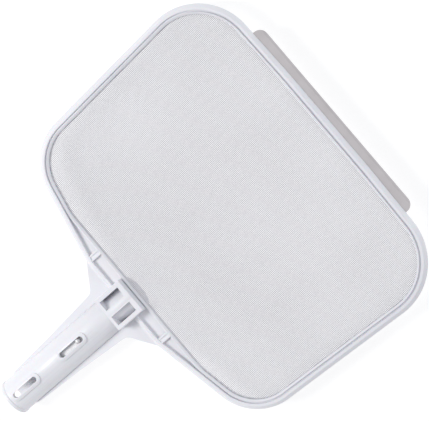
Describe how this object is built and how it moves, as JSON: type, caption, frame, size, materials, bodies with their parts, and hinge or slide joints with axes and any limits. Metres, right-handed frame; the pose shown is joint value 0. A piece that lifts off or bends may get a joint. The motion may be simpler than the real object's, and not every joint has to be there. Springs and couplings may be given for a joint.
{
  "type": "leaf skimmer net",
  "caption": "Flat pool leaf skimmer: rounded plastic frame with a clamped nylon net, soft scraper lip and a tubular pole socket with a spring lock button.",
  "frame": {"origin": "under the middle of the whole outline, at the level of the socket tube's lowest line", "axes": "+Z is the side that faces up in use, +Y runs from the handle to the leading edge, and the pole leaves along -Y"},
  "size_m": [0.3792, 0.464, 0.0404],
  "materials": {
    "white_plastic": "satin moulded",
    "nylon_net": "fine woven monofilament",
    "lip_vinyl": "matt",
    "spring_steel": "bright"
  },
  "bodies": {
    "frame": {"main_frame": "white_plastic", "handle_tube": "white_plastic", "retaining_ring": "white_plastic", "mesh_panel": "nylon_net", "scraper_lip": "lip_vinyl", "clip_spring": "spring_steel", "handle_screws": "spring_steel"},
    "lock_button": {"clip_leg": "spring_steel", "clip_button": "spring_steel"}
  },
  "joints": [
    {"name": "button_press", "type": "hinge", "parent": "frame", "child": "lock_button", "pos_m": [0, -0.1735, 0.0197], "axis": [-1, 0, 0], "range_deg": [0, 8], "stiffness_Nm_per_rad": 0.5}
  ]
}
